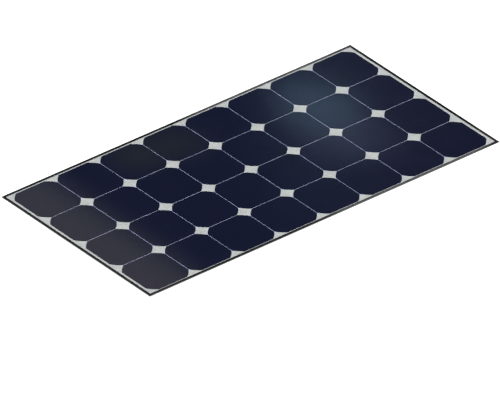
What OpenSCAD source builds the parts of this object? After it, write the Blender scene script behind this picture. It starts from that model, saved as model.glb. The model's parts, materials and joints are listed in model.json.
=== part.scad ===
// Flexible solar sheet: 8 by 4 back-contact cells laminated between a clear film and a pale
// backsheet, bound all round by a thin dark trim, with a shallow junction box on the back.
// Millimetres. +Z is the sunny side, X runs along the long side, z = 0 is the bonding face
// on the back and the origin is its centre. The sheet bends about the seven seams between
// the columns, so every layer is cut there; flex_gap is the width of that cut.

/* [Cells] */
// Width of a cell across its flats
cell_w = 125; // [100:1:160]
// Diameter of the round wafer that cuts the cell's corners
wafer_d = 150; // [120:1:200]
// Thickness of a cell
cell_t = 0.2; // [0.15:0.01:0.3]
// Gap between neighbouring cells
cell_gap = 1; // [0.8:0.1:3]

/* [Laminate] */
// Light strip between the end cells and the dark trim
end_margin = 6.5; // [3:0.5:20]
// Light strip between the outer rows and the dark trim
side_margin = 2.5; // [1:0.5:20]
// Thickness of the backsheet
backsheet_t = 0.6; // [0.4:0.1:1.2]
// Thickness of the encapsulant behind the cells
rear_bond_t = 0.3; // [0.3:0.05:0.6]
// Thickness of the encapsulant in front of the cells
front_bond_t = 0.3; // [0.2:0.05:0.6]
// Thickness of the clear front film
film_t = 0.2; // [0.1:0.05:0.4]
// Cut between neighbouring columns at the bending lines
flex_gap = 0.4; // [0.3:0.05:0.8]

/* [Edge trim] */
// Width of the dark border seen from the front
trim_w = 7; // [4:0.5:15]
// Thickness of the trim on top of the film
trim_t = 0.4; // [0.3:0.1:1]
// Thickness of the trim's side wall
trim_wall = 1; // [0.6:0.1:2]
// Open line at each mitred corner
mitre_gap = 0.1; // [0.05:0.05:0.3]

/* [Wiring] */
// Width of a tab between cells along the bending line
tab_l = 90; // [40:5:110]
// Reach of a tab onto the back of a cell
tab_reach = 4; // [2:0.5:8]
// Thickness of a tab
tab_t = 0.1; // [0.08:0.01:0.1]
// Width of a bus ribbon
ribbon_w = 5; // [3:0.5:7]
// Thickness of a bus ribbon
ribbon_t = 0.2; // [0.1:0.05:0.2]

/* [Junction box] */
// Length of the box along the sheet
box_l = 64; // [56:1:90]
// Width of the box across the sheet
box_w = 110; // [96:1:160]
// Depth of the box below the adhesive
box_h = 20; // [20:1:30]
// Thickness of the adhesive pad
pad_t = 1; // [0.5:0.1:3]
// Wall thickness of the box
box_wall = 2.5; // [2:0.1:4]
// Thickness of the lid
lid_t = 2.5; // [2:0.1:4]
// Corner radius of the box
box_r = 4; // [3:0.5:8]
// Distance of each cable gland from the middle of the box
gland_y = 28; // [22:1:34]
// Diameter of the cable the glands are made for
cable_d = 6; // [4:0.5:7]
// Diameter of the lid's hinge pin
pin_d = 2; // [1.5:0.1:3]
// Radial clearance of the lid's bore round its pin
pin_clear = 0.05; // [0.02:0.01:0.1]

/* [Hidden] */
columns = 8;
rows = 4;
fine = 96;
pitch = cell_w + cell_gap;
cells_l = columns * pitch - cell_gap;
cells_w = rows * pitch - cell_gap;
sheet_l = cells_l + 2 * (end_margin + trim_w);
sheet_w = cells_w + 2 * (side_margin + trim_w);
// the layers stop at the inside of the trim's wall
core_l = sheet_l - 2 * trim_wall;
core_w = sheet_w - 2 * trim_wall;
// heights of the stack, from the bonding face up
z_bond = backsheet_t;
z_cell = z_bond + rear_bond_t;
z_cell_top = z_cell + cell_t;
z_film = z_cell_top + front_bond_t;
z_trim = z_film + film_t;
z_top = z_trim + trim_t;
z_tab = z_cell - tab_t;

// bus ribbons lie behind the end cells in two tracks, measured in from the cell's edge
track_a = 2;
track_b = 10;
tab_in = 0.5;
end_tab_short = track_a + ribbon_w + 1;
end_tab_long = track_b + ribbon_w + 1;
cells_x0 = -cells_l / 2;
cells_x1 = cells_l / 2;

// the junction box sits behind the middle of the first column, its lid facing down
box_x = -(columns / 2 - 0.5) * pitch;
box_x0 = box_x - box_l / 2;
box_x1 = box_x + box_l / 2;
z_box = -pad_t;
z_floor = z_box - box_wall;
z_rim = z_box - box_h;
z_ledge = z_rim + lid_t;
pad_inset = 3;
// the lid lies in a rebate: a thin lip stands round it and a ledge stops it
lip_t = 0.8;
lid_gap = 0.4;
ledge_gap = 0.3;
tongue_w = 12;
tongue_out = 2;
mark_l = 7;
mark_w = 1.4;
mark_depth = 0.4;
seal_w = 1.5;
seal_h = 1.2;
// the slot that the ribbons come through
slot_x = box_x0 + box_wall + 7;
slot_l = 4;
slot_w = 62;
riser_y = 22;

// terminals: three rails on seats, each held by a screw
rail_x = slot_x + 7;
rail_l = 22;
rail_w = 12;
rail_t = 1.5;
seat_h = 2.5;
z_rail = z_floor - seat_h;
z_foot = z_rail - rail_t;
foot_l = 6;
screw_x = rail_x + rail_l - 4.5;
screw_d = 3;
screw_clear = 0.1;
screw_reach = 2;
head_d = 5.5;
head_h = 1.6;
diode_x = rail_x + 10;
diode_l = 9;
diode_w = 8;
diode_t = 3;
leg_w = 4;
leg_l = 3;
leg_t = 0.6;

// glands: a hexagon body through the wall, its round locknut inside, a rubber seal in its bore
gland_z = (z_floor + z_ledge) / 2;
nut_af = 15;
nut_l = 9;
mouth_l = 1.5;
mouth_d = cable_d + 1.5;
seal_t = 1.15;
seal_clear = 0.05;
seal_l = 10;
shank_bore = cable_d + 2 * (seal_t + seal_clear);
shank_d = shank_bore + 1.5;
shank_in = 6;
hole_clear = 0.05;
locknut_d = shank_d + 2.5;
locknut_l = 2.5;

// hinge along the long side away from the glands
hinge_x = box_x1 + 3.2;
hinge_z = z_rim + 3.2;
knuckle_r = 2.6;
hinge_l = 60;
knuckle_gap = 0.5;
end_knuckle_l = 14;
mid_knuckle_l = hinge_l - 2 * end_knuckle_l - 2 * knuckle_gap;

function seam_x(k) = (k - columns / 2) * pitch;
function col_x(n) = (n - columns / 2 - 0.5) * pitch;
function row_y(r) = ((rows + 1) / 2 - r) * pitch;
// ends of column n for a layer whose whole length is len
function x_from(n, len) = n == 1 ? -len / 2 : seam_x(n - 1) + flex_gap / 2;
function x_to(n, len) = n == columns ? len / 2 : seam_x(n) - flex_gap / 2;

module slab(x0, x1, y0, y1, z0, z1) {
  translate([x0, y0, z0])
    cube([x1 - x0, y1 - y0, z1 - z0]);
}

module layer(n, len, wid, z0, z1) {
  slab(x_from(n, len), x_to(n, len), -wid / 2, wid / 2, z0, z1);
}

module wafer(n, r, z0, z1) {
  translate([col_x(n), row_y(r), z0])
    intersection() {
      translate([-cell_w / 2, -cell_w / 2, 0])
        cube([cell_w, cell_w, z1 - z0]);
      cylinder(h = z1 - z0, d = wafer_d, $fn = fine);
    }
}

// one half of the tab that joins two cells across seam k; side is -1 or 1
module seam_tab(k, r, side) {
  near = flex_gap / 2;
  far = cell_gap / 2 + tab_reach;
  x0 = seam_x(k) + (side > 0 ? near : -far);
  slab(x0, x0 + far - near, row_y(r) - tab_l / 2, row_y(r) + tab_l / 2, z_tab, z_cell);
}

// the tab at the open end of a string, long enough to reach its ribbon's track
module end_tab(r, side, reach) {
  edge = side < 0 ? cells_x0 + tab_in : cells_x1 - tab_in - reach;
  slab(edge, edge + reach, row_y(r) - tab_l / 2, row_y(r) + tab_l / 2, z_tab, z_cell);
}

module tabs(n) {
  for (r = [1:rows]) {
    if (n > 1)
      seam_tab(n - 1, r, 1);
    if (n < columns)
      seam_tab(n, r, -1);
    if (n == 1)
      end_tab(r, -1, r == 1 || r == rows ? end_tab_long : end_tab_short);
    if (n == columns)
      end_tab(r, 1, end_tab_short);
  }
}

module ribbon(x0, x1, y0, y1) {
  slab(x0, x1, y0, y1, z_tab - ribbon_t, z_tab);
}

// flat runs of the three ribbons that reach the junction box
module near_runs() {
  xa = cells_x0 + track_a;
  xb = cells_x0 + track_b;
  y_out = row_y(1) + tab_l / 2 - 2;
  for (s = [-1, 1]) {
    // a lead runs down its track, then turns in to the slot
    ribbon(xb, xb + ribbon_w, min(s * riser_y, s * y_out) - (s > 0 ? ribbon_w / 2 : 0),
      max(s * riser_y, s * y_out) + (s < 0 ? ribbon_w / 2 : 0));
    ribbon(xb, slot_x, s * riser_y - ribbon_w / 2, s * riser_y + ribbon_w / 2);
  }
  y_mid = row_y(2) + tab_l / 2 - 2;
  ribbon(xa, xa + ribbon_w, -y_mid, y_mid);
  ribbon(xa, slot_x, -ribbon_w / 2, ribbon_w / 2);
}

module far_runs() {
  xa = cells_x1 - track_a - ribbon_w;
  for (s = [-1, 1]) {
    y_in = row_y(2) - tab_l / 2 + 2;
    y_out = row_y(1) + tab_l / 2 - 2;
    ribbon(xa, xa + ribbon_w, s > 0 ? y_in : -y_out, s > 0 ? y_out : -y_in);
  }
}

module front_film(n) {
  color([0.85, 0.9, 0.95, 0.35])
    layer(n, core_l, core_w, z_film, z_trim);
}

module encapsulant(n) {
  color([0.9, 0.9, 0.9, 0.4])
    difference() {
      layer(n, core_l, core_w, z_bond, z_film);
      for (r = [1:rows])
        wafer(n, r, z_cell, z_cell_top);
      tabs(n);
      if (n == 1)
        near_runs();
      if (n == 1)
        for (y = [-riser_y, 0, riser_y])
          slab(slot_x - ribbon_t, slot_x, y - ribbon_w / 2, y + ribbon_w / 2, z_bond - 1, z_tab);
      if (n == columns)
        far_runs();
    }
}

module cells(n) {
  color([0.1, 0.11, 0.2])
    for (r = [1:rows])
      wafer(n, r, z_cell, z_cell_top);
}

module interconnects(n) {
  color([0.8, 0.8, 0.82])
    tabs(n);
}

module backsheet(n) {
  color([0.82, 0.83, 0.82])
    difference() {
      layer(n, core_l, core_w, 0, z_bond);
      if (n == 1)
        slab(slot_x - slot_l / 2, slot_x + slot_l / 2, -slot_w / 2, slot_w / 2, -1, z_bond + 1);
    }
}

// a run of trim along one long side, from x0 to x1; side is -1 or 1
module side_run(x0, x1, side) {
  y_out = sheet_w / 2;
  slab(x0, x1, side > 0 ? y_out - trim_wall : -y_out, side > 0 ? y_out : trim_wall - y_out,
    0, z_top);
  slab(x0, x1, side > 0 ? y_out - trim_w : -y_out, side > 0 ? y_out : trim_w - y_out,
    z_trim, z_top);
}

module end_run(side) {
  x_out = sheet_l / 2;
  y = sheet_w / 2;
  slab(side > 0 ? x_out - trim_wall : -x_out, side > 0 ? x_out : trim_wall - x_out,
    -y, y, 0, z_top);
  slab(side > 0 ? x_out - trim_w : -x_out, side > 0 ? x_out : trim_w - x_out,
    -y, y, z_trim, z_top);
}

// a corner's frame: its tip at the origin, both edges running towards positive
module at_corner(sx, sy) {
  translate([sx * sheet_l / 2, sy * sheet_w / 2, -1])
    mirror([sx > 0 ? 1 : 0, 0, 0])
      mirror([0, sy > 0 ? 1 : 0, 0])
        linear_extrude(z_top + 2)
          children();
}

// the end strip's side of a corner's diagonal
module end_half(sx, sy) {
  s = 3 * trim_w;
  c = mitre_gap / sqrt(2);
  at_corner(sx, sy)
    polygon([[-s, -s - c], [s, s - c], [-s, s]]);
}

// the side strip's side of a corner's diagonal
module side_half(sx, sy) {
  s = 3 * trim_w;
  c = mitre_gap / sqrt(2);
  at_corner(sx, sy)
    polygon([[-s, -s + c], [s, -s], [s, s + c]]);
}

module side_strip(n, side) {
  difference() {
    side_run(x_from(n, sheet_l), x_to(n, sheet_l), side);
    if (n == 1)
      end_half(-1, side);
    if (n == columns)
      end_half(1, side);
  }
}

module end_strip(sx) {
  difference() {
    end_run(sx);
    side_half(sx, -1);
    side_half(sx, 1);
  }
}

module edge_trim(n) {
  color([0.13, 0.13, 0.14]) {
    side_strip(n, -1);
    side_strip(n, 1);
    if (n == 1)
      end_strip(-1);
    if (n == columns)
      end_strip(1);
  }
}

// a ribbon's way down through the slot and over to its terminal rail
module riser(y) {
  slab(slot_x - ribbon_t, slot_x, y - ribbon_w / 2, y + ribbon_w / 2, z_foot - ribbon_t, z_tab);
  slab(slot_x - ribbon_t, rail_x + foot_l, y - ribbon_w / 2, y + ribbon_w / 2,
    z_foot - ribbon_t, z_foot);
}

module bus_ribbons_near() {
  color([0.8, 0.8, 0.82]) {
    near_runs();
    for (y = [-riser_y, 0, riser_y])
      riser(y);
  }
}

module bus_ribbons_far() {
  color([0.8, 0.8, 0.82])
    far_runs();
}

// a block with round upright edges
module rounded(x0, x1, y0, y1, z0, z1, r) {
  slab(x0 + r, x1 - r, y0, y1, z0, z1);
  slab(x0, x1, y0 + r, y1 - r, z0, z1);
  for (x = [x0 + r, x1 - r])
    for (y = [y0 + r, y1 - r])
      translate([x, y, z0])
        cylinder(h = z1 - z0, r = r, $fn = fine);
}

module slot(z0, z1) {
  slab(slot_x - slot_l / 2, slot_x + slot_l / 2, -slot_w / 2, slot_w / 2, z0, z1);
}

module adhesive_pad() {
  color([0.2, 0.2, 0.2])
    difference() {
      slab(box_x0 + pad_inset, box_x1 - pad_inset, pad_inset - box_w / 2, box_w / 2 - pad_inset,
        z_box, 0);
      slot(z_box - 1, 1);
    }
}

module along_y(x, y, z, l, r) {
  translate([x, y, z])
    rotate([-90, 0, 0])
      cylinder(h = l, r = r, $fn = fine);
}

module along_x(x, y, z, l, d) {
  translate([x, y, z])
    rotate([0, 90, 0])
      cylinder(h = l, d = d, $fn = fine);
}

// the open box without its fittings
module shell() {
  r = box_r;
  difference() {
    rounded(box_x0, box_x1, -box_w / 2, box_w / 2, z_rim, z_box, r);
    rounded(box_x0 + box_wall, box_x1 - box_wall, box_wall - box_w / 2, box_w / 2 - box_wall,
      z_rim - 1, z_floor, r / 2);
    // the rebate runs out past the hinge side, so that the lid can swing
    rounded(box_x0 + lip_t, box_x1 + 2 * r, lip_t - box_w / 2, box_w / 2 - lip_t,
      z_rim - 1, z_ledge, r - lip_t);
    slab(box_x0 - 1, box_x0 + r, -tongue_w / 2 - lid_gap, tongue_w / 2 + lid_gap,
      z_rim - 1, z_ledge);
  }
}

module end_knuckle(y) {
  along_y(hinge_x, y, hinge_z, end_knuckle_l, knuckle_r);
  slab(box_x1 - 1, hinge_x, y, y + end_knuckle_l, z_ledge, hinge_z + knuckle_r);
}

module junction_base() {
  color([0.1, 0.1, 0.1])
    difference() {
      union() {
        shell();
        end_knuckle(-hinge_l / 2);
        end_knuckle(hinge_l / 2 - end_knuckle_l);
        for (y = [-riser_y, 0, riser_y])
          slab(rail_x, rail_x + rail_l, y - rail_w / 2, y + rail_w / 2, z_rail, z_floor + 1);
      }
      slot(z_floor - 1, z_box + 1);
      for (y = [-riser_y, 0, riser_y])
        translate([screw_x, y, z_rail - 1])
          cylinder(h = screw_reach + 1, d = screw_d, $fn = fine);
      for (s = [-1, 1])
        along_x(box_x0 - 1, s * gland_y, gland_z, box_wall + 2, shank_d + 2 * hole_clear);
      // the pin is pressed into these barrels
      along_y(hinge_x, -hinge_l / 2 - 1, hinge_z, hinge_l + 2, pin_d / 2);
    }
}

// engraved signs by the two glands
module marks() {
  z = z_rim - 1;
  h = mark_depth + 1;
  x = box_x0 + 12;
  for (s = [-1, 1])
    slab(x - mark_w / 2, x + mark_w / 2, s * gland_y - mark_l / 2, s * gland_y + mark_l / 2,
      z, z + h);
  slab(x - mark_l / 2, x + mark_l / 2, gland_y - mark_w / 2, gland_y + mark_w / 2, z, z + h);
}

module junction_lid() {
  inset = lip_t + lid_gap;
  z_lid = z_ledge - ledge_gap;
  color([0.1, 0.1, 0.1])
    difference() {
      union() {
        rounded(box_x0 + inset, box_x1, inset - box_w / 2, box_w / 2 - inset, z_rim, z_lid,
          box_r - inset);
        // a tongue to open it by
        slab(box_x0 - tongue_out, box_x0 + box_r, -tongue_w / 2, tongue_w / 2, z_rim,
          z_lid - 0.6);
        along_y(hinge_x, -mid_knuckle_l / 2, hinge_z, mid_knuckle_l, knuckle_r);
        slab(box_x1 - 2, hinge_x, -mid_knuckle_l / 2, mid_knuckle_l / 2, hinge_z - knuckle_r,
          z_lid);
      }
      along_y(hinge_x, -hinge_l / 2, hinge_z, hinge_l, pin_d / 2 + pin_clear);
      marks();
    }
}

// a ring on the lid that plugs the box's mouth
module lid_seal() {
  out = box_wall + lid_gap;
  in = out + seal_w;
  z = z_ledge - ledge_gap;
  color([0.05, 0.05, 0.05])
    difference() {
      rounded(box_x0 + out, box_x1 - out, out - box_w / 2, box_w / 2 - out, z, z + seal_h,
        box_r / 2 - lid_gap);
      slab(box_x0 + in, box_x1 - in, in - box_w / 2, box_w / 2 - in, z - 1, z + seal_h + 1);
    }
}

module hinge_pin() {
  color([0.75, 0.75, 0.76])
    along_y(hinge_x, -hinge_l / 2, hinge_z, hinge_l, pin_d / 2);
}

module terminal_rails() {
  color([0.72, 0.6, 0.3])
    for (y = [-riser_y, 0, riser_y])
      difference() {
        slab(rail_x, rail_x + rail_l, y - rail_w / 2, y + rail_w / 2, z_foot, z_rail);
        translate([screw_x, y, z_foot - 1])
          cylinder(h = rail_t + 2, d = screw_d + 2 * screw_clear, $fn = fine);
      }
}

module terminal_screws() {
  color([0.75, 0.75, 0.76])
    for (y = [-riser_y, 0, riser_y])
      translate([screw_x, y, z_foot - head_h]) {
        cylinder(h = head_h, d = head_d, $fn = fine);
        cylinder(h = head_h + rail_t + screw_reach, d = screw_d, $fn = fine);
      }
}

// each diode bridges two rails, its legs on their lower faces
module bypass_diodes() {
  color([0.12, 0.12, 0.12])
    for (s = [-1, 1])
      translate([diode_x, s * riser_y / 2, z_foot]) {
        translate([-diode_l / 2, -diode_w / 2, -diode_t / 2])
          cube([diode_l, diode_w, diode_t]);
        translate([-leg_w / 2, -diode_w / 2 - leg_l, -leg_t])
          cube([leg_w, diode_w + 2 * leg_l, leg_t]);
      }
}

module gland_seals() {
  color([0.05, 0.05, 0.05])
    for (s = [-1, 1])
      difference() {
        along_x(box_x0 - nut_l + mouth_l, s * gland_y, gland_z, seal_l,
          shank_bore - 2 * seal_clear);
        along_x(box_x0 - nut_l, s * gland_y, gland_z, seal_l + 2 * mouth_l, cable_d);
      }
}

// the body with its shank through the wall, then the locknut
module gland_nuts() {
  color([0.12, 0.12, 0.12])
    for (s = [-1, 1]) {
      difference() {
        union() {
          translate([box_x0 - nut_l, s * gland_y, gland_z])
            rotate([0, 90, 0])
              cylinder(h = nut_l, d = nut_af / cos(30), $fn = 6);
          along_x(box_x0 - 1, s * gland_y, gland_z, shank_in + 1, shank_d);
        }
        along_x(box_x0 - nut_l - 1, s * gland_y, gland_z, nut_l + shank_in + 2, mouth_d);
        along_x(box_x0 - nut_l + mouth_l, s * gland_y, gland_z, nut_l + shank_in, shank_bore);
      }
      difference() {
        along_x(box_x0 + box_wall, s * gland_y, gland_z, locknut_l, locknut_d);
        along_x(box_x0, s * gland_y, gland_z, 2 * shank_in, shank_d + 2 * hole_clear);
      }
    }
}

for (n = [1:columns]) {
  front_film(n);
  encapsulant(n);
  cells(n);
  interconnects(n);
  backsheet(n);
  edge_trim(n);
}
bus_ribbons_near();
bus_ribbons_far();
adhesive_pad();
junction_base();
junction_lid();
lid_seal();
hinge_pin();
terminal_rails();
terminal_screws();
bypass_diodes();
gland_seals();
gland_nuts();
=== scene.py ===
import bpy
import json
import math
from mathutils import Matrix, Vector

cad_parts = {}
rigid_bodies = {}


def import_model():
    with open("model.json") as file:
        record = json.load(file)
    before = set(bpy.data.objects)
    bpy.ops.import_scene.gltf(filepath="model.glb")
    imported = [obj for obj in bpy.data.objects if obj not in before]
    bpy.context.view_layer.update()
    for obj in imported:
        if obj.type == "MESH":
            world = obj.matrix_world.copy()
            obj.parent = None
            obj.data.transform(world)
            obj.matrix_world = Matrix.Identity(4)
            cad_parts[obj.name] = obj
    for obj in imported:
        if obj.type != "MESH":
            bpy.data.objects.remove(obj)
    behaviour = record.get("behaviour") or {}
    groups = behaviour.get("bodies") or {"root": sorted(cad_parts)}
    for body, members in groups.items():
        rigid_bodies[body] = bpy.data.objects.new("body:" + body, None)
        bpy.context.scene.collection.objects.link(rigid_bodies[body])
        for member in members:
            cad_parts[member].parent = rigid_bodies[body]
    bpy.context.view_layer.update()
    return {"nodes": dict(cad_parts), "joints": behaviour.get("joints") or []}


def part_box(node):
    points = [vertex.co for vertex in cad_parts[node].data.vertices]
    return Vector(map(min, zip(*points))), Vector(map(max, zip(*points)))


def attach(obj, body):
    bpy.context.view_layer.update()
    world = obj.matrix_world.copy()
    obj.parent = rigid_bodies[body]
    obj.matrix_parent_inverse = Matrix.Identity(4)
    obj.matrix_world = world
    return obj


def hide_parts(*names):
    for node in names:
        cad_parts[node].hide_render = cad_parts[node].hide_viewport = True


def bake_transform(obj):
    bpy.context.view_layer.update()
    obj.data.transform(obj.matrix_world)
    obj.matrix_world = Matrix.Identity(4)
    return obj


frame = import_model()
scene = bpy.context.scene
scene.view_settings.view_transform = "Standard"
print("frame loaded")

mm = 0.001
columnCount = 8
rowCount = 4

# sizes read from the frame
cellLow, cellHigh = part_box("cells_1")
cellWidth = cellHigh[0] - cellLow[0]
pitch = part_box("cells_2")[0][0] - cellLow[0]
seamX = [j["pos_m"][0] for j in frame["joints"] if j["name"].startswith("flex_")]
columnX = [seamX[0] + (k - 0.5) * pitch for k in range(columnCount)]
rowY = [(rowCount / 2 - 0.5 - r) * pitch for r in range(rowCount)]
sheetX0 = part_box("edge_trim_1")[0][0]
sheetX1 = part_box("edge_trim_8")[1][0]
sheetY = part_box("edge_trim_1")[1][1]
coreX0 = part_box("backsheet_1")[0][0]
coreX1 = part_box("backsheet_8")[1][0]
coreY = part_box("backsheet_1")[1][1]
zTabLow, zTabHigh = [c[2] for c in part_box("interconnects_1")]
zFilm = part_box("front_film_1")[1][2]
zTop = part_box("edge_trim_1")[1][2]
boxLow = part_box("junction_base")[0]
lidLow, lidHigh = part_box("junction_lid")
boxCentre = (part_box("lid_seal")[0][0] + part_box("lid_seal")[1][0]) / 2

cameraSet = {
    "azimuth": -40.952,
    "elevation": 32.854,
    "roll": 1.460,
    "distance": 43.684,
    "right": -0.00249,
    "up": -0.07977,
    "lens": 1390.0,  # millimetres, as is the sensor
    "sensor": 36.0,
    "near": 0.1,
    "far": 500.0,
}


def towards(azimuth, elevation):  # degrees, from the front and turning to the right
    a, e = math.radians(azimuth), math.radians(elevation)
    return Vector((math.sin(a) * math.cos(e), -math.cos(a) * math.cos(e), math.sin(e)))


def addCamera():
    a, r = math.radians(cameraSet["azimuth"]), math.radians(cameraSet["roll"])
    back = towards(cameraSet["azimuth"], cameraSet["elevation"])
    level = Vector((math.cos(a), math.sin(a), 0))
    upright = back.cross(level)
    right = level * math.cos(r) + upright * math.sin(r)
    up = upright * math.cos(r) - level * math.sin(r)
    spot = right * cameraSet["right"] + up * cameraSet["up"] + back * cameraSet["distance"]
    data = bpy.data.cameras.new("camera")
    data.lens = cameraSet["lens"]
    data.sensor_width = cameraSet["sensor"]
    data.clip_start = cameraSet["near"]
    data.clip_end = cameraSet["far"]
    cam = bpy.data.objects.new("camera", data)
    cam.matrix_world = Matrix.Translation(spot) @ Matrix((right, up, back)).transposed().to_4x4()
    scene.collection.objects.link(cam)
    scene.camera = cam


addCamera()
print("camera placed")


def objectMode():
    if bpy.context.object and bpy.context.object.mode != "OBJECT":
        bpy.ops.object.mode_set(mode="OBJECT")


def activate(piece):
    objectMode()
    bpy.ops.object.select_all(action="DESELECT")
    piece.select_set(True)
    bpy.context.view_layer.objects.active = piece


def addBlock(name, low, high):
    objectMode()
    bpy.ops.object.select_all(action="DESELECT")
    bpy.ops.mesh.primitive_cube_add(size=1, location=[(a + b) / 2 for a, b in zip(low, high)])
    piece = bpy.context.object
    piece.name = piece.data.name = name
    piece.scale = [b - a for a, b in zip(low, high)]
    bpy.ops.object.transform_apply(location=True, rotation=True, scale=True)
    return piece


def pickFaces(piece, test):
    objectMode()
    bpy.ops.object.mode_set(mode="EDIT")
    bpy.ops.mesh.select_mode(type="FACE")
    bpy.ops.mesh.select_all(action="DESELECT")
    objectMode()
    for f in piece.data.polygons:
        f.select = bool(test(f.center, f.normal))
    bpy.ops.object.mode_set(mode="EDIT")


def pickEdges(piece, test):
    objectMode()
    bpy.ops.object.mode_set(mode="EDIT")
    bpy.ops.mesh.select_mode(type="EDGE")
    bpy.ops.mesh.select_all(action="DESELECT")
    objectMode()
    for e in piece.data.edges:
        a, b = [piece.data.vertices[i].co for i in e.vertices]
        e.select = bool(test(a, b))
    bpy.ops.object.mode_set(mode="EDIT")


def cutAt(point, normal, **more):
    bpy.ops.mesh.select_all(action="SELECT")
    bpy.ops.mesh.bisect(plane_co=point, plane_no=normal, **more)


def bevelPicked(width, segments=2):
    bpy.ops.mesh.bevel(offset=width, offset_type="OFFSET", segments=segments, affect="EDGES")


def applyAll(piece):
    activate(piece)
    for m in list(piece.modifiers):
        bpy.ops.object.modifier_apply(modifier=m.name)


def smoothByAngle(piece, degrees=32):
    activate(piece)
    bpy.ops.object.shade_smooth_by_angle(angle=math.radians(degrees))


def joinPieces(first, others):
    activate(first)
    for o in others:
        o.select_set(True)
    bpy.ops.object.join()
    return first


def cutWith(piece, cutter):
    activate(piece)
    m = piece.modifiers.new("cut", "BOOLEAN")
    m.operation = "DIFFERENCE"
    m.solver = "EXACT"
    m.object = cutter
    bpy.ops.object.modifier_apply(modifier=m.name)
    bpy.data.objects.remove(cutter)


def dress(piece, material):
    piece.data.materials.clear()
    piece.data.materials.append(material)


def newGroup(name, inputs, outputs):
    g = bpy.data.node_groups.new(name, "ShaderNodeTree")
    for label, kind, value in inputs:
        s = g.interface.new_socket(label, in_out="INPUT", socket_type=kind)
        s.default_value = value
    for label, kind in outputs:
        g.interface.new_socket(label, in_out="OUTPUT", socket_type=kind)
    return g, g.nodes.new("NodeGroupInput"), g.nodes.new("NodeGroupOutput")


def feed(tree, socket, value):  # a number, a tone, or another node's output
    if isinstance(value, (int, float)):
        socket.default_value = value
    elif isinstance(value, tuple):
        socket.default_value = (*value, 1.0)
    else:
        tree.links.new(value, socket)


def mathNode(tree, kind, a, b=None, clamp=False):
    n = tree.nodes.new("ShaderNodeMath")
    n.operation = kind
    n.use_clamp = clamp
    feed(tree, n.inputs[0], a)
    if b is not None:
        feed(tree, n.inputs[1], b)
    return n.outputs[0]


def mapRange(tree, value, low, high, outLow=0.0, outHigh=1.0, smooth=False):
    n = tree.nodes.new("ShaderNodeMapRange")
    n.interpolation_type = "SMOOTHSTEP" if smooth else "LINEAR"
    n.clamp = True
    for i, v in enumerate((value, low, high, outLow, outHigh)):
        feed(tree, n.inputs[i], v)
    return n.outputs[0]


def mixColour(tree, amount, a, b):
    n = tree.nodes.new("ShaderNodeMix")
    n.data_type = "RGBA"
    # sockets 6 and 7 and output 2 are the colours
    for i, v in ((0, amount), (6, a), (7, b)):
        feed(tree, n.inputs[i], v)
    return n.outputs[2]


def noise(tree, where, scale, detail=2.0):
    n = tree.nodes.new("ShaderNodeTexNoise")
    n.inputs["Detail"].default_value = detail
    feed(tree, n.inputs["Vector"], where)
    feed(tree, n.inputs["Scale"], scale)
    return n.outputs["Fac"]


def absolute(tree, value):
    return mathNode(tree, "ABSOLUTE", value)


def length2d(tree, a, b):
    squares = [mathNode(tree, "MULTIPLY", v, v) for v in (a, b)]
    return mathNode(tree, "SQRT", mathNode(tree, "ADD", *squares))


def objectPoint(tree):
    return tree.nodes.new("ShaderNodeTexCoord").outputs["Object"]


grainBroad = 0.22  # scale of the grain's broad part against its fine part
speckleFine = 60.0  # scale of the speckle against the slow patches
mottleEdge = (0.35, 0.65)


def buildGrain():  # fine moulded or embossed texture, as a height
    g, gin, gout = newGroup(
        "grain", [("Scale", "NodeSocketFloat", 900.0), ("Softness", "NodeSocketFloat", 0.5)],
        [("Height", "NodeSocketFloat")])
    p = objectPoint(g)
    fine = noise(g, p, gin.outputs["Scale"], 3.0)
    broad = noise(g, p, mathNode(g, "MULTIPLY", gin.outputs["Scale"], grainBroad), 1.0)
    mixed = mathNode(g, "MULTIPLY", broad, gin.outputs["Softness"])
    g.links.new(mathNode(g, "ADD", fine, mixed), gout.inputs["Height"])
    return g


def buildMottle():  # slow patches between two tones, with a little fine speckle
    g, gin, gout = newGroup(
        "mottle",
        [("Tone", "NodeSocketColor", (0.5, 0.5, 0.5, 1)),
         ("Other", "NodeSocketColor", (0.4, 0.4, 0.4, 1)),
         ("Scale", "NodeSocketFloat", 12.0), ("Speckle", "NodeSocketFloat", 0.2)],
        [("Color", "NodeSocketColor"), ("Mask", "NodeSocketFloat")])
    p = objectPoint(g)
    slow = mapRange(g, noise(g, p, gin.outputs["Scale"], 3.0), *mottleEdge)
    fast = noise(g, p, mathNode(g, "MULTIPLY", gin.outputs["Scale"], speckleFine), 2.0)
    speck = mathNode(g, "MULTIPLY", mathNode(g, "SUBTRACT", fast, 0.5), gin.outputs["Speckle"])
    mask = mathNode(g, "ADD", slow, speck, clamp=True)
    g.links.new(mixColour(g, mask, gin.outputs["Tone"], gin.outputs["Other"]), gout.inputs["Color"])
    g.links.new(mask, gout.inputs["Mask"])
    return g


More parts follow.
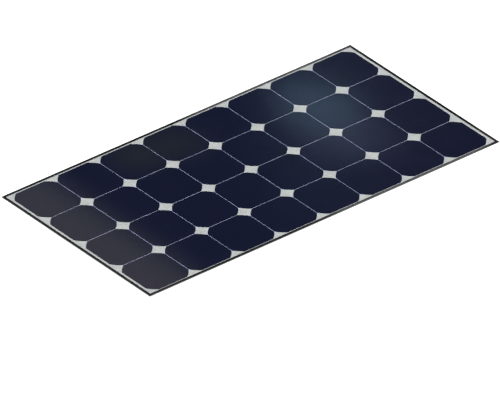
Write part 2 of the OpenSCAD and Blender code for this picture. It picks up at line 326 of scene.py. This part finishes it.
def buildLattice():  # where a point lies in its cell's square, and which cell that is
    g, gin, gout = newGroup(
        "cellLattice", [("Pitch", "NodeSocketFloat", pitch)],
        [(label, "NodeSocketFloat") for label in ("Across", "Along", "Chance", "Column", "Row")])
    split = g.nodes.new("ShaderNodeSeparateXYZ")
    g.links.new(objectPoint(g), split.inputs[0])
    step = gin.outputs["Pitch"]
    u = mathNode(g, "ADD", mathNode(g, "DIVIDE", split.outputs[0], step), columnCount / 2)
    v = mathNode(g, "SUBTRACT", rowCount / 2, mathNode(g, "DIVIDE", split.outputs[1], step))
    column, row = mathNode(g, "FLOOR", u), mathNode(g, "FLOOR", v)
    join = g.nodes.new("ShaderNodeCombineXYZ")
    g.links.new(column, join.inputs[0])
    g.links.new(row, join.inputs[1])
    dice = g.nodes.new("ShaderNodeTexWhiteNoise")
    g.links.new(join.outputs[0], dice.inputs["Vector"])
    across, along = [
        mathNode(g, "MULTIPLY", mathNode(g, "SUBTRACT", mathNode(g, "FRACT", s), 0.5), step)
        for s in (u, v)]
    for name, s in (("Across", across), ("Along", along), ("Chance", dice.outputs["Value"]),
                    ("Column", u), ("Row", v)):
        g.links.new(s, gout.inputs[name])
    return g


def buildPatch():  # a soft round patch on the lattice, 1 at its middle and 0 past its radius
    g, gin, gout = newGroup(
        "softPatch",
        [("Column", "NodeSocketFloat", 0.0), ("Row", "NodeSocketFloat", 0.0),
         ("Centre Column", "NodeSocketFloat", 0.0), ("Centre Row", "NodeSocketFloat", 0.0),
         ("Radius", "NodeSocketFloat", 1.0)],
        [("Mask", "NodeSocketFloat")])
    du = mathNode(g, "SUBTRACT", gin.outputs["Column"], gin.outputs["Centre Column"])
    dv = mathNode(g, "SUBTRACT", gin.outputs["Row"], gin.outputs["Centre Row"])
    far = length2d(g, du, dv)
    mask = mapRange(g, far, 0.0, gin.outputs["Radius"], 1.0, 0.0, smooth=True)
    g.links.new(mask, gout.inputs["Mask"])
    return g


grainGroup = buildGrain()
mottleGroup = buildMottle()
latticeGroup = buildLattice()
patchGroup = buildPatch()


def newMaterial(name, roughness=0.5, metallic=0.0, **sockets):
    m = bpy.data.materials.new(name)
    m.use_nodes = True
    tree = m.node_tree
    shader = tree.nodes["Principled BSDF"]
    shader.inputs["Roughness"].default_value = roughness
    shader.inputs["Metallic"].default_value = metallic
    for key, value in sockets.items():
        shader.inputs[key.replace("_", " ")].default_value = value
    return m, tree, shader


def placeGroup(tree, group, **values):
    n = tree.nodes.new("ShaderNodeGroup")
    n.node_tree = group
    for key, value in values.items():
        feed(tree, n.inputs[key.replace("_", " ")], value)
    return n


def bumpFrom(tree, shader, height, strength, distance):
    n = tree.nodes.new("ShaderNodeBump")
    n.inputs["Strength"].default_value = strength
    n.inputs["Distance"].default_value = distance
    tree.links.new(height, n.inputs["Height"])
    tree.links.new(n.outputs[0], shader.inputs["Normal"])


def grainBump(tree, shader, look):  # moulded or embossed grain from a look's own values
    fine = placeGroup(tree, grainGroup, Scale=look["grain"], Softness=look["softness"])
    bumpFrom(tree, shader, fine.outputs["Height"], look["bump"], look["depth"])
    return fine


cellLook = {
    "navy": (0.0072, 0.0086, 0.0280),
    "deep": (0.0054, 0.0074, 0.0230),
    # this tone and the four after it are painted sheen tones, reflections painted into the cells'
    # colour
    "teal": (0.0260, 0.0440, 0.0730),
    "grey": (0.0255, 0.0285, 0.0415),
    "olive": (0.0150, 0.0190, 0.0260),
    "plum": (0.0310, 0.0255, 0.0410),
    "slate": (0.0300, 0.0360, 0.0680),
    "scale": 14.0,
    "speckle": 0.3,
    "stray": 0.5,  # how far a cell may stray to the deep tone
    # painted sheens, reflections painted into the cells' colour at fixed places: tone, column, row,
    # radius in cells, amount
    "patches": (
        ("teal", 6.3, 1.25, 1.25, 0.67), ("teal", 6.3, 0.4, 0.9, 0.3),
        ("slate", 6.1, 2.35, 1.3, 0.47), ("olive", 2.7, 0.35, 1.0, 0.8),
        ("olive", 3.5, 0.5, 1.0, 0.7)),
    # the first column's painted sheen: its grey fades along the columns, its plum also along the rows
    "greyFade": (0.38, 1.5),
    "greyAmount": 0.80,
    "plumFade": (0.15, 0.6),
    "plumAmount": 0.55,
    "plumRows": (0.0, 3.5),
    "plumLeast": 0.3,
    "grain": 700.0,
    "softness": 1.2,
    "bump": 0.25,
    "depth": 0.06 * mm,
    "rough": (0.38, 0.46),
}


def makeCellFace():
    look = cellLook
    m, tree, shader = newMaterial(
        "cellFace", roughness=0.42, Specular_IOR_Level=0.35, Coat_Roughness=0.26, Coat_IOR=1.42)
    shader.inputs["Coat Weight"].default_value = 1.0
    cell = placeGroup(tree, latticeGroup, Pitch=pitch)
    column, row = cell.outputs["Column"], cell.outputs["Row"]
    base = placeGroup(tree, mottleGroup, Tone=look["navy"], Other=look["deep"],
                      Scale=look["scale"], Speckle=look["speckle"])
    stray = mapRange(tree, cell.outputs["Chance"], 0, 1, 0.0, look["stray"])
    colour = mixColour(tree, stray, base.outputs["Color"], look["deep"])
    # painted reflections: soft patches of paler tone over the cells
    for tone, centreColumn, centreRow, radius, amount in look["patches"]:
        patch = placeGroup(tree, patchGroup, Column=column, Row=row, Centre_Column=centreColumn,
                           Centre_Row=centreRow, Radius=radius)
        mask = mathNode(tree, "MULTIPLY", patch.outputs[0], amount)
        colour = mixColour(tree, mask, colour, look[tone])
    # painted sheen on the first column: a paler grey, then a plum tint, fading out along the columns
    grey = mapRange(tree, column, *look["greyFade"], 1.0, 0.0, smooth=True)
    grey = mathNode(tree, "MULTIPLY", grey, look["greyAmount"])
    colour = mixColour(tree, grey, colour, look["grey"])
    plum = mathNode(
        tree, "MULTIPLY",
        mapRange(tree, column, *look["plumFade"], look["plumAmount"], 0.0, smooth=True),
        mapRange(tree, row, *look["plumRows"], look["plumLeast"], 1.0))
    colour = mixColour(tree, plum, colour, look["plum"])
    tree.links.new(colour, shader.inputs["Base Color"])
    grainBump(tree, shader, look)
    rough = mapRange(tree, base.outputs["Mask"], 0, 1, *look["rough"])
    tree.links.new(rough, shader.inputs["Roughness"])
    return m


backingLook = {
    "tone": (0.56, 0.585, 0.565),
    "other": (0.49, 0.515, 0.51),
    "seamTone": (0.54, 0.58, 0.80),
    "scale": 40.0,
    "speckle": 0.5,
    "waferShare": 1.2,  # the wafer's width against the cell's
    # each cell raises it a little, from just outside the cell's edge to just inside
    "pressOut": 0.3 * mm,
    "pressIn": 0.9 * mm,
    "seamIn": 0.2 * mm,
    "straight": (0.036, 0.044),  # where a cell's side ends and its cut corner starts
    "frontFrom": (0.3 * mm, 0.6 * mm),
    "marginIn": 0.5 * mm,
    "marginFade": 0.4 * mm,
    "grain": 420.0,
    "softness": 1.0,
    "grainShare": 0.15,
    "bump": 0.6,
    "depth": 0.3 * mm,
}


def makeBacking():
    look = backingLook
    m, tree, shader = newMaterial("paleBacking", roughness=0.5, Coat_Roughness=0.3, Coat_IOR=1.42)
    shader.inputs["Coat Weight"].default_value = 0.6
    base = placeGroup(tree, mottleGroup, Tone=look["tone"], Other=look["other"],
                      Scale=look["scale"], Speckle=look["speckle"])
    cell = placeGroup(tree, latticeGroup, Pitch=pitch)
    half = cellWidth / 2
    corner = look["waferShare"] * half
    ax, ay = absolute(tree, cell.outputs["Across"]), absolute(tree, cell.outputs["Along"])
    side = mathNode(tree, "MAXIMUM", ax, ay)
    onCell = mathNode(
        tree, "MULTIPLY",
        mapRange(tree, side, half + look["pressOut"], half - look["pressIn"]),
        mapRange(tree, length2d(tree, ax, ay), corner + look["pressOut"], corner - look["pressIn"]))
    # the seams between straight cell edges look a little bluer than the open diamonds
    seam = mathNode(
        tree, "MULTIPLY",
        mapRange(tree, side, half - look["seamIn"], half),
        mapRange(tree, mathNode(tree, "MINIMUM", ax, ay), *look["straight"], 1.0, 0.0))
    split = tree.nodes.new("ShaderNodeSeparateXYZ")
    tree.links.new(objectPoint(tree), split.inputs[0])
    inside = mapRange(tree, split.outputs[2], *look["frontFrom"])
    for axis, count in ((0, columnCount), (1, rowCount)):
        edge = count / 2 * pitch - look["marginIn"]
        within = mapRange(tree, absolute(tree, split.outputs[axis]),
                          edge - look["marginFade"], edge, 1.0, 0.0)
        inside = mathNode(tree, "MULTIPLY", inside, within)
    colour = mixColour(
        tree, mathNode(tree, "MULTIPLY", seam, inside), base.outputs["Color"], look["seamTone"])
    tree.links.new(colour, shader.inputs["Base Color"])
    fine = placeGroup(tree, grainGroup, Scale=look["grain"], Softness=look["softness"])
    grain = mathNode(tree, "MULTIPLY", fine.outputs["Height"], look["grainShare"])
    bumpFrom(tree, shader, mathNode(tree, "ADD", grain, onCell), look["bump"], look["depth"])
    return m


filmLook = {
    "tone": (0.012, 0.012, 0.014, 1),
    "alpha": 0.04,
    "grain": 500.0,
    "softness": 0.8,
    "bump": 0.15,
    "depth": 0.05 * mm,
}


def makeFilm():
    m, tree, shader = newMaterial("clearFilm", roughness=0.2)
    shader.inputs["Base Color"].default_value = filmLook["tone"]
    shader.inputs["Alpha"].default_value = filmLook["alpha"]
    grainBump(tree, shader, filmLook)
    return m


trimLook = {
    "tone": (0.0065, 0.0065, 0.0072),
    "other": (0.0105, 0.0105, 0.0112),
    # paler tone of the painted highlight along the outer rim
    "rubbed": (0.055, 0.055, 0.058),
    "scale": 25.0,
    "speckle": 0.4,
    "rim": (-1.4 * mm, -0.2 * mm),  # from the outer edge inwards
    "ragged": 0.8 * mm,
    "grain": 1100.0,
    "softness": 0.6,
    "bump": 0.2,
    "depth": 0.08 * mm,
    "rough": (0.4, 0.5),
}


def makeTrim():
    look = trimLook
    m, tree, shader = newMaterial("trimBlack", roughness=0.45, Specular_IOR_Level=0.5)
    base = placeGroup(tree, mottleGroup, Tone=look["tone"], Other=look["other"],
                      Scale=look["scale"], Speckle=look["speckle"])
    fine = grainBump(tree, shader, look)
    # the outer rim is painted a little paler, a painted highlight along the edge
    split = tree.nodes.new("ShaderNodeSeparateXYZ")
    tree.links.new(objectPoint(tree), split.inputs[0])
    outX, outY = [
        mathNode(tree, "SUBTRACT", absolute(tree, split.outputs[axis]), edge)
        for axis, edge in ((0, sheetX1), (1, sheetY))]
    ragged = mathNode(tree, "MULTIPLY", fine.outputs["Height"], look["ragged"])
    out = mathNode(tree, "ADD", mathNode(tree, "MAXIMUM", outX, outY), ragged)
    rim = mapRange(tree, out, *look["rim"])
    colour = mixColour(tree, rim, base.outputs["Color"], look["rubbed"])
    tree.links.new(colour, shader.inputs["Base Color"])
    rough = mapRange(tree, base.outputs["Mask"], 0, 1, *look["rough"])
    tree.links.new(rough, shader.inputs["Roughness"])
    return m


mouldedLook = {
    "scale": 30.0,
    "speckle": 0.5,
    "softness": 0.4,
    "depth": 0.12 * mm,
    "smoother": 0.05,
    "rougher": 0.06,
}


def makeMoulded(name, tone, other, grain, roughness, bump):
    look = {**mouldedLook, "grain": grain, "bump": bump}
    m, tree, shader = newMaterial(name, roughness=roughness, Specular_IOR_Level=0.45)
    base = placeGroup(tree, mottleGroup, Tone=tone, Other=other,
                      Scale=look["scale"], Speckle=look["speckle"])
    tree.links.new(base.outputs["Color"], shader.inputs["Base Color"])
    grainBump(tree, shader, look)
    rough = mapRange(tree, base.outputs["Mask"], 0, 1,
                     roughness - look["smoother"], roughness + look["rougher"])
    tree.links.new(rough, shader.inputs["Roughness"])
    return m


metalLook = {
    "scale": 60.0,
    "speckle": 0.6,
    "lines": 900.0,
    "lineEdge": (0.3, 0.7),
    "bump": 0.15,
    "depth": 0.05 * mm,
    "smoother": 0.08,
    "rougher": 0.1,
}


def makeMetal(name, tone, other, roughness, stretch):
    look = metalLook
    m, tree, shader = newMaterial(name, roughness=roughness, metallic=1.0)
    base = placeGroup(tree, mottleGroup, Tone=tone, Other=other,
                      Scale=look["scale"], Speckle=look["speckle"])
    tree.links.new(base.outputs["Color"], shader.inputs["Base Color"])
    mapping = tree.nodes.new("ShaderNodeMapping")
    mapping.inputs["Scale"].default_value = stretch
    tree.links.new(objectPoint(tree), mapping.inputs["Vector"])
    lines = noise(tree, mapping.outputs[0], look["lines"], 3.0)
    bumpFrom(tree, shader, lines, look["bump"], look["depth"])
    rough = mapRange(tree, lines, *look["lineEdge"],
                     roughness - look["smoother"], roughness + look["rougher"])
    tree.links.new(rough, shader.inputs["Roughness"])
    return m


cellFace = makeCellFace()
paleBacking = makeBacking()
clearFilm = makeFilm()
trimBlack = makeTrim()
# name, two tones, grain, roughness, bump
tabFinish = makeMoulded("tabFinish", (0.50, 0.56, 0.81), (0.44, 0.49, 0.72), 1200.0, 0.45, 0.1)
boxPlastic = makeMoulded(
    "boxPlastic", (0.014, 0.014, 0.015), (0.024, 0.024, 0.025), 1500.0, 0.42, 0.35)
glandPlastic = makeMoulded(
    "glandPlastic", (0.016, 0.016, 0.017), (0.024, 0.024, 0.025), 1800.0, 0.42, 0.18)
sealRubber = makeMoulded("sealRubber", (0.012, 0.012, 0.012), (0.02, 0.02, 0.02), 900.0, 0.75, 0.25)
sealant = makeMoulded("sealant", (0.03, 0.03, 0.031), (0.045, 0.045, 0.046), 300.0, 0.6, 0.5)
diodeEpoxy = makeMoulded("diodeEpoxy", (0.01, 0.01, 0.01), (0.018, 0.018, 0.018), 2500.0, 0.4, 0.2)
# name, two tones, roughness, how the drawn lines are stretched
tinnedCopper = makeMetal("tinnedCopper", (0.72, 0.72, 0.75), (0.6, 0.6, 0.64), 0.38, (1, 6, 1))
brightSteel = makeMetal("brightSteel", (0.66, 0.66, 0.68), (0.55, 0.55, 0.57), 0.28, (1, 1, 6))
railBrass = makeMetal("railBrass", (0.72, 0.53, 0.25), (0.6, 0.43, 0.2), 0.34, (6, 1, 1))
print("materials made")

# each span of the laminate runs from mid-column to mid-column across one seam, cut a few times about
# the seam
laminateSet = {
    "bend": 0.8 * mm,
    "cuts": 4,
    "filmGap": 0.05 * mm,
    "maskOver": 0.02 * mm,  # the pale backing just covers the ribbons
    "slotAhead": 9.5 * mm,
    "slotLong": 4 * mm,
    "slotWide": 62 * mm,
    "slotDeep": 0.6 * mm,
    "slotPast": 10 * mm,
}


def spanEnds(k, first, last):
    low = first if k == 1 else columnX[k - 1]
    high = last if k == columnCount - 1 else columnX[k]
    return low, high


def seamCuts(piece, k):
    activate(piece)
    bpy.ops.object.mode_set(mode="EDIT")
    for i in range(laminateSet["cuts"] + 1):
        x = seamX[k - 1] + laminateSet["bend"] * (2 * i / laminateSet["cuts"] - 1)
        cutAt((x, 0, 0), (1, 0, 0))
    objectMode()


def bendAt(piece):
    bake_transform(piece)


def standsFor(piece, k, *kinds):
    nodes = [f"{kind}_{k}" for kind in kinds]
    if k == columnCount - 1:
        nodes += [f"{kind}_{k + 1}" for kind in kinds]
    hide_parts(*nodes)


def makeBackingSpan(k):
    low, high = spanEnds(k, coreX0, coreX1)
    top = zTabLow + laminateSet["maskOver"]
    piece = addBlock(f"backing{k}", (low, -coreY, 0), (high, coreY, top))
    seamCuts(piece, k)
    if k == 1:
        x = boxLow[0] + laminateSet["slotAhead"]
        a, b = laminateSet["slotLong"] / 2, laminateSet["slotWide"] / 2
        cutWith(piece, addBlock(
            "slotCutter", (x - a, -b, -laminateSet["slotPast"]), (x + a, b, laminateSet["slotDeep"])))
    dress(piece, paleBacking)
    standsFor(piece, k, "backsheet", "encapsulant")
    bendAt(piece)


def makeFilmSpan(k):
    low, high = spanEnds(k, coreX0, coreX1)
    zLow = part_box("cells_1")[1][2] + laminateSet["filmGap"]
    piece = addBlock(f"film{k}", (low, -coreY, zLow), (high, coreY, zFilm))
    seamCuts(piece, k)
    dress(piece, clearFilm)
    standsFor(piece, k, "front_film")
    bendAt(piece)


tabSet = {"reach": 4.5 * mm, "long": 90 * mm, "endLong": 8 * mm}


def makeTabSpan(k):
    places = [(seamX[k - 1] - tabSet["reach"], seamX[k - 1] + tabSet["reach"])]
    if k == 1:
        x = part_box("interconnects_1")[0][0]
        places.append((x, x + tabSet["endLong"]))
    if k == columnCount - 1:
        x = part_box(f"interconnects_{columnCount}")[1][0]
        places.append((x - tabSet["endLong"], x))
    half = tabSet["long"] / 2
    tabs = []
    for x0, x1 in places:
        for y in rowY:
            name = f"tabs{k}_{len(tabs)}"
            tabs.append(addBlock(name, (x0, y - half, zTabLow), (x1, y + half, zTabHigh)))
    piece = joinPieces(tabs[0], tabs[1:])
    piece.name = piece.data.name = f"tabs{k}"
    seamCuts(piece, k)
    dress(piece, tabFinish)
    standsFor(piece, k, "interconnects")
    bendAt(piece)


trimSet = {
    "lip": 6 * mm,
    "edge": 0.22 * mm,
    "mitre": 0.12 * mm,
    "same": 0.01 * mm,  # nearer than this counts as one place
    "apart": 0.1 * mm,
}


def addStrip(name, low, high, axis, side):
    piece = addBlock(name, low, high)
    activate(piece)
    bpy.ops.object.mode_set(mode="EDIT")
    cutAt((0, 0, zFilm), (0, 0, 1))
    pickFaces(piece, lambda c, n: n[axis] * side < -0.5 and c.z > zFilm)
    move = Vector((0, 0, 0))
    move[axis] = -side * trimSet["lip"]
    bpy.ops.mesh.extrude_region_move(TRANSFORM_OT_translate={"value": move})
    wallFace = coreY if axis == 1 else abs(coreX0)
    same = trimSet["same"]
    pickEdges(piece, lambda a, b: (
        min(a.z, b.z) > zTop - same and abs(a[axis] - b[axis]) < same
        and abs(abs(a[axis]) - wallFace) > trimSet["apart"]))
    bevelPicked(trimSet["edge"])
    objectMode()
    return piece


def mitre(piece, sx, sy, longStrip):
    normal = Vector((-sx, sy, 0)).normalized()
    corner = Vector((sheetX1 if sx > 0 else sheetX0, sy * sheetY, 0))
    shift = normal * (trimSet["mitre"] / 2) * (1 if longStrip else -1)
    activate(piece)
    bpy.ops.object.mode_set(mode="EDIT")
    cutAt(corner + shift, normal, use_fill=True, clear_inner=longStrip, clear_outer=not longStrip)
    objectMode()


def makeTrimSpan(k):
    low, high = spanEnds(k, sheetX0, sheetX1)
    endSide = {1: -1, columnCount - 1: 1}.get(k)
    strips = []
    for side in (-1, 1):
        y0, y1 = sorted((side * sheetY, side * coreY))
        strip = addStrip(f"trim{k}_{side}", (low, y0, 0), (high, y1, zTop), 1, side)
        if endSide:
            mitre(strip, endSide, side, True)
        strips.append(strip)
    if endSide:
        x0, x1 = sorted((sheetX0, coreX0)) if endSide < 0 else sorted((sheetX1, coreX1))
        strip = addStrip(f"trim{k}_end", (x0, -sheetY, 0), (x1, sheetY, zTop), 0, endSide)
        for side in (-1, 1):
            mitre(strip, endSide, side, False)
        strips.append(strip)
    piece = joinPieces(strips[0], strips[1:])
    piece.name = piece.data.name = f"trim{k}"
    seamCuts(piece, k)
    dress(piece, trimBlack)
    standsFor(piece, k, "edge_trim")
    bendAt(piece)


for k in range(1, columnCount):
    makeBackingSpan(k)
    makeFilmSpan(k)
    makeTabSpan(k)
    makeTrimSpan(k)
for k in range(1, columnCount + 1):
    dress(frame["nodes"][f"cells_{k}"], cellFace)
for node in ("bus_ribbons_near", "bus_ribbons_far"):
    dress(frame["nodes"][node], tinnedCopper)
print("laminate made")

boxSet = {
    "weld": 0.005 * mm,
    "flat": 1,  # degrees, under which two faces are one
    "smooth": 35,
    "sharp": 40,  # degrees, over which an edge is rounded
    "edge": 0.35 * mm,
    "nutEdge": 0.3 * mm,
    "sealEdge": 0.25 * mm,
    "padEdge": 0.3 * mm,
    "smallEdge": 0.2 * mm,
    "thinEdge": 0.15 * mm,
    "leadHalf": 2.1 * mm,
    "leadFrom": 0.6,  # share of a diode's half-step at which its lead starts
    "crossLong": 3.6 * mm,
    "crossWide": 0.9 * mm,
    "crossDeep": 0.9 * mm,
    "grooveInset": 5 * mm,
    "grooveWide": 1 * mm,
    "grooveDeep": 0.4 * mm,
    "ribs": 5,
    "ribHalf": 9 * mm,
    "ribWide": 0.8 * mm,
    "ribGap": 2.2 * mm,
    "ribDeep": 0.35 * mm,
}


def copyNode(name, node, edge, body, material):
    source = frame["nodes"][node]
    piece = bpy.data.objects.new(name, source.data.copy())
    piece.data.name = name
    scene.collection.objects.link(piece)
    activate(piece)
    bpy.ops.mesh.customdata_custom_splitnormals_clear()
    bpy.ops.object.mode_set(mode="EDIT")
    bpy.ops.mesh.select_all(action="SELECT")
    bpy.ops.mesh.remove_doubles(threshold=boxSet["weld"])
    bpy.ops.mesh.dissolve_limited(angle_limit=math.radians(boxSet["flat"]))
    objectMode()
    if edge:
        m = piece.modifiers.new("edge", "BEVEL")
        m.width = edge
        m.segments = 2
        m.limit_method = "ANGLE"
        m.angle_limit = math.radians(boxSet["sharp"])
        m.harden_normals = False
        applyAll(piece)
    smoothByAngle(piece, boxSet["smooth"])
    dress(piece, material)
    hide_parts(node)
    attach(piece, body)
    return piece


def makeScrews():
    piece = copyNode("terminalScrews", "terminal_screws", 0, "column_1", brightSteel)
    low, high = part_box("terminal_screws")
    x = (low[0] + high[0]) / 2
    reach = (high[1] - low[1]) / 2 - (high[0] - low[0]) / 2
    a, b, deep = boxSet["crossLong"] / 2, boxSet["crossWide"] / 2, boxSet["crossDeep"]
    for y in (-reach, 0, reach):
        for dx, dy in ((a, b), (b, a)):
            cutWith(piece, addBlock(
                "recess", (x - dx, y - dy, low[2] - mm), (x + dx, y + dy, low[2] + deep)))


def makeDiodes():
    piece = copyNode(
        "bypassDiodes", "bypass_diodes", boxSet["thinEdge"], "column_1", diodeEpoxy)
    piece.data.materials.append(tinnedCopper)
    low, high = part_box("bypass_diodes")
    middle, step = (low[0] + high[0]) / 2, (high[1] - low[1]) / 4
    for f in piece.data.polygons:
        onLead = abs(f.center.x - middle) < boxSet["leadHalf"]
        outside = abs(abs(f.center.y) - step) > boxSet["leadFrom"] * step
        f.material_index = int(onLead and outside)


def makeLid():
    piece = copyNode("boxLid", "junction_lid", boxSet["edge"], "box_lid", boxPlastic)
    z, deep = lidLow[2], boxSet["grooveDeep"]
    inset, wide = boxSet["grooveInset"], boxSet["grooveWide"]
    x0, x1 = boxLow[0] + inset, boxLow[0] + 2 * abs(boxCentre - boxLow[0]) - inset
    y = lidHigh[1] - inset
    groove = addBlock("groove", (x0, -y, z - deep), (x1, y, z + deep))
    cutWith(groove, addBlock(
        "inside", (x0 + wide, wide - y, z - 2 * deep), (x1 - wide, y - wide, z + 2 * deep)))
    cutWith(piece, groove)
    # grip ribs by the tongue
    for i in range(boxSet["ribs"]):
        x = x0 + inset / 2 + i * boxSet["ribGap"]
        cutWith(piece, addBlock(
            "grip", (x, -boxSet["ribHalf"], z - deep),
            (x + boxSet["ribWide"], boxSet["ribHalf"], z + boxSet["ribDeep"])))
    smoothByAngle(piece)


copyNode("boxBase", "junction_base", boxSet["edge"], "column_1", boxPlastic)
makeLid()
copyNode("lidSeal", "lid_seal", boxSet["sealEdge"], "box_lid", sealRubber)
for name, node, edge, slot, material in (
        ("glandNuts", "gland_nuts", "nutEdge", "gland_plastic", glandPlastic),
        ("glandSeals", "gland_seals", "smallEdge", "seal_rubber", sealRubber),
        ("adhesivePad", "adhesive_pad", "padEdge", "sealant", sealant),
        ("terminalRails", "terminal_rails", "thinEdge", "rail_brass", railBrass),
        ("hingePin", "hinge_pin", "smallEdge", "steel", brightSteel)):
    copyNode(name, node, boxSet[edge], "column_1", material)
makeScrews()
makeDiodes()
print("junction box made")

studioSet = {
    "floor": 40.0,
    "floorBelow": 0.30,  # clear of the open lid and of the sheet bent down
    "floorTone": (0.42, 0.42, 0.415),
    "floorOther": (0.40, 0.40, 0.395),
    "floorScale": 3.0,
    "floorSpeckle": 0.1,
    "floorGlow": 0.97,
    "floorBounce": 0.48,
    "ambient": (0.012, 0.014, 0.024),
    # soft glow on the camera's side, which only other sides see reflected
    "sheen": (0.13, 0.135, 0.15),
    "sheenFrom": (-0.35, 0.9),
    # azimuth, elevation, strength, softness in degrees
    "suns": (
        ("keySun", -38, 48, 3.6, 24), ("leftSun", -120, 42, 0.9, 30), ("rightSun", 42, 42, 0.9, 30)),
    # reflection cards over the sheet: where their reflection falls (centre, size), height, colour,
    # power, and whether only the border sees them
    "cards": (
        ("tealCard", (0.287, 0.102), (0.16, 0.25), 0.40, (0.50, 0.80, 1.0), 0.082, False),
        ("leftCard", (-0.475, 0.0), (0.17, 0.62), 0.14, (1.0, 0.97, 0.87), 0.050, False),
        ("broadCard", (0.36, -0.02), (0.34, 0.48), 0.50, (1.0, 0.97, 0.95), 0.036, False),
        ("farEdgeLong", (0.27, 0.262), (0.46, 0.06), 0.06, (1.0, 1.0, 1.0), 0.22, True),
        ("farEdgeShort", (0.22, 0.262), (0.24, 0.06), 0.06, (1.0, 1.0, 1.0), 0.16, True),
        ("nearEdgeLong", (0.25, -0.262), (0.44, 0.06), 0.06, (1.0, 1.0, 1.0), 0.18, True),
        ("nearEdgeShort", (0.20, -0.262), (0.24, 0.06), 0.06, (1.0, 1.0, 1.0), 0.14, True),
    ),
}


def makeFloor():
    z = -studioSet["floorBelow"]
    objectMode()
    bpy.ops.object.select_all(action="DESELECT")
    bpy.ops.mesh.primitive_plane_add(size=studioSet["floor"], location=(0, 0, z))
    piece = bpy.context.object
    piece.name = piece.data.name = "floor"
    bpy.ops.object.transform_apply(location=True, rotation=True, scale=True)
    m, tree, shader = newMaterial("floorPale", roughness=0.9, Specular_IOR_Level=0.1)
    base = placeGroup(tree, mottleGroup, Tone=studioSet["floorTone"], Other=studioSet["floorOther"],
                      Scale=studioSet["floorScale"], Speckle=studioSet["floorSpeckle"])
    tree.links.new(base.outputs["Color"], shader.inputs["Base Color"])
    shader.inputs["Emission Color"].default_value = (1, 1, 1, 1)
    seen = tree.nodes.new("ShaderNodeLightPath").outputs["Is Camera Ray"]
    glow = mapRange(tree, seen, 0, 1, studioSet["floorBounce"], studioSet["floorGlow"])
    tree.links.new(glow, shader.inputs["Emission Strength"])
    # clear from below, so that the back of the sheet can be looked at
    clear = tree.nodes.new("ShaderNodeBsdfTransparent")
    mix = tree.nodes.new("ShaderNodeMixShader")
    tree.links.new(tree.nodes.new("ShaderNodeNewGeometry").outputs["Backfacing"], mix.inputs[0])
    tree.links.new(shader.outputs[0], mix.inputs[1])
    tree.links.new(clear.outputs[0], mix.inputs[2])
    tree.links.new(mix.outputs[0], tree.nodes["Material Output"].inputs[0])
    dress(piece, m)


def makeLights():
    for name, azimuth, elevation, strength, softness in studioSet["suns"]:
        data = bpy.data.lights.new(name, "SUN")
        data.energy = strength
        data.angle = math.radians(softness)
        sun = bpy.data.objects.new(name, data)
        sun.rotation_euler = towards(azimuth, elevation).to_track_quat("Z", "Y").to_euler()
        sun.visible_glossy = False
        scene.collection.objects.link(sun)
    a, e = math.radians(cameraSet["azimuth"]), math.radians(cameraSet["elevation"])
    slide = Vector((-math.sin(a), math.cos(a), 0)) / math.tan(e)
    border = bpy.data.collections.new("border")
    for k in range(1, columnCount):
        border.objects.link(bpy.data.objects[f"trim{k}"])
    for name, centre, size, height, tone, power, onBorder in studioSet["cards"]:
        data = bpy.data.lights.new(name, "AREA")
        data.shape = "RECTANGLE"
        data.size, data.size_y = size
        data.color = tone
        data.energy = power
        card = bpy.data.objects.new(name, data)
        card.location = Vector((*centre, zTop)) + slide * height + Vector((0, 0, height))
        card.visible_camera = False
        card.visible_diffuse = False
        if onBorder:
            card.light_linking.receiver_collection = border
        scene.collection.objects.link(card)


def makeWorld():
    world = bpy.data.worlds.new("studio")
    scene.world = world
    world.use_nodes = True
    tree = world.node_tree
    seen = tree.nodes["Background"]
    seen.inputs[0].default_value = (1, 1, 1, 1)
    dim = tree.nodes.new("ShaderNodeBackground")
    where = tree.nodes.new("ShaderNodeTexCoord")
    lean = tree.nodes.new("ShaderNodeVectorMath")
    lean.operation = "DOT_PRODUCT"
    a = math.radians(cameraSet["azimuth"])
    lean.inputs[1].default_value = (math.sin(a), -math.cos(a), 0)
    tree.links.new(where.outputs["Generated"], lean.inputs[0])
    side = mapRange(tree, lean.outputs["Value"], *studioSet["sheenFrom"], smooth=True)
    glow = mixColour(tree, side, studioSet["ambient"], studioSet["sheen"])
    tree.links.new(glow, dim.inputs[0])
    mix = tree.nodes.new("ShaderNodeMixShader")
    path = tree.nodes.new("ShaderNodeLightPath")
    tree.links.new(path.outputs["Is Camera Ray"], mix.inputs[0])
    tree.links.new(dim.outputs[0], mix.inputs[1])
    tree.links.new(seen.outputs[0], mix.inputs[2])
    tree.links.new(mix.outputs[0], tree.nodes["World Output"].inputs[0])


makeFloor()
makeLights()
makeWorld()
print("studio made")
